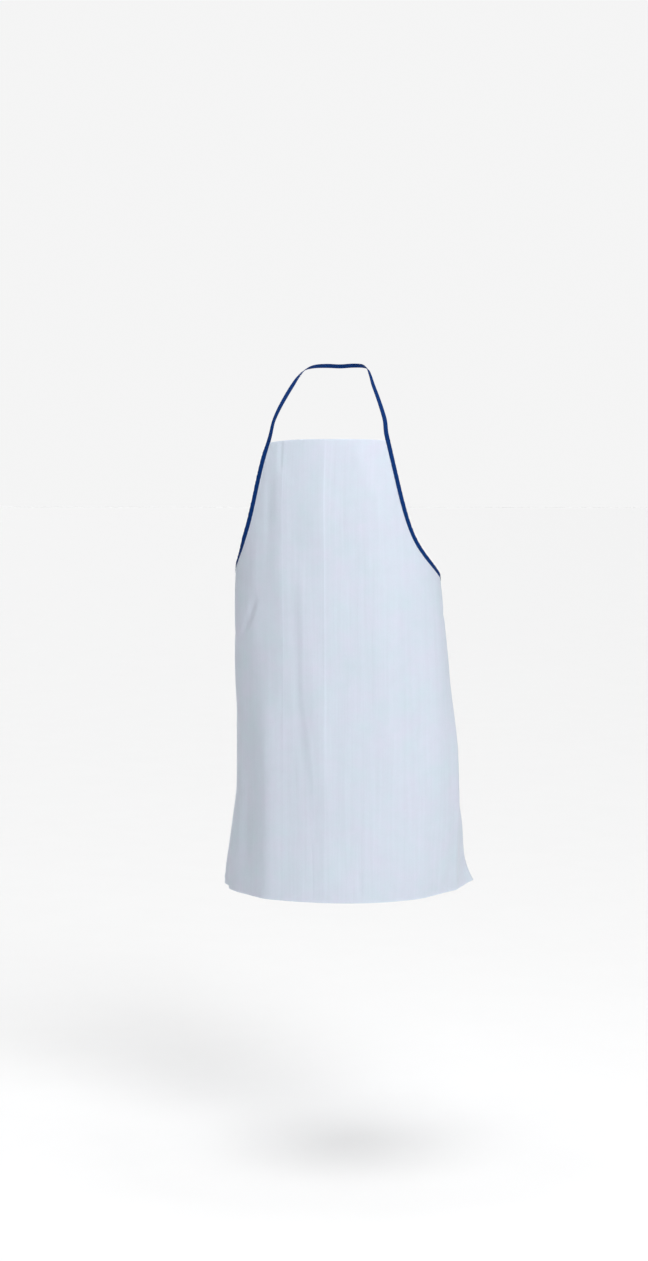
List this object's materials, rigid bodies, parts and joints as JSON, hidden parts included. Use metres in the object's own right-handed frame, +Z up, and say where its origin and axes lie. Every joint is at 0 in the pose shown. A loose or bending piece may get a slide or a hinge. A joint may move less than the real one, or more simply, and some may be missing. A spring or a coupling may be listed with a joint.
{
  "type": "apron",
  "caption": "Nonwoven bib apron with taped armholes, a neck loop and waist ties knotted at the back, shaped as worn with its back open.",
  "frame": {"origin": "inner face of the neck loop at the centre of the nape, where the wearer holds the apron up", "axes": "+Z up along the hanging cloth, -Y the way the wearer faces, +X towards the wearer's left"},
  "size_m": [0.5174, 0.3139, 1.0403],
  "materials": {
    "apron_cloth": "matte white coated nonwoven",
    "binding_tape": "matte navy folded tape"
  },
  "bodies": {
    "root": {"body_panel": "apron_cloth", "armhole_binding_left": "binding_tape", "armhole_binding_right": "binding_tape", "neck_loop": "binding_tape", "waist_tie_left": "binding_tape", "waist_tie_right": "binding_tape", "waist_knot": "binding_tape", "tie_end_left": "binding_tape", "tie_end_right": "binding_tape"}
  },
  "joints": []
}
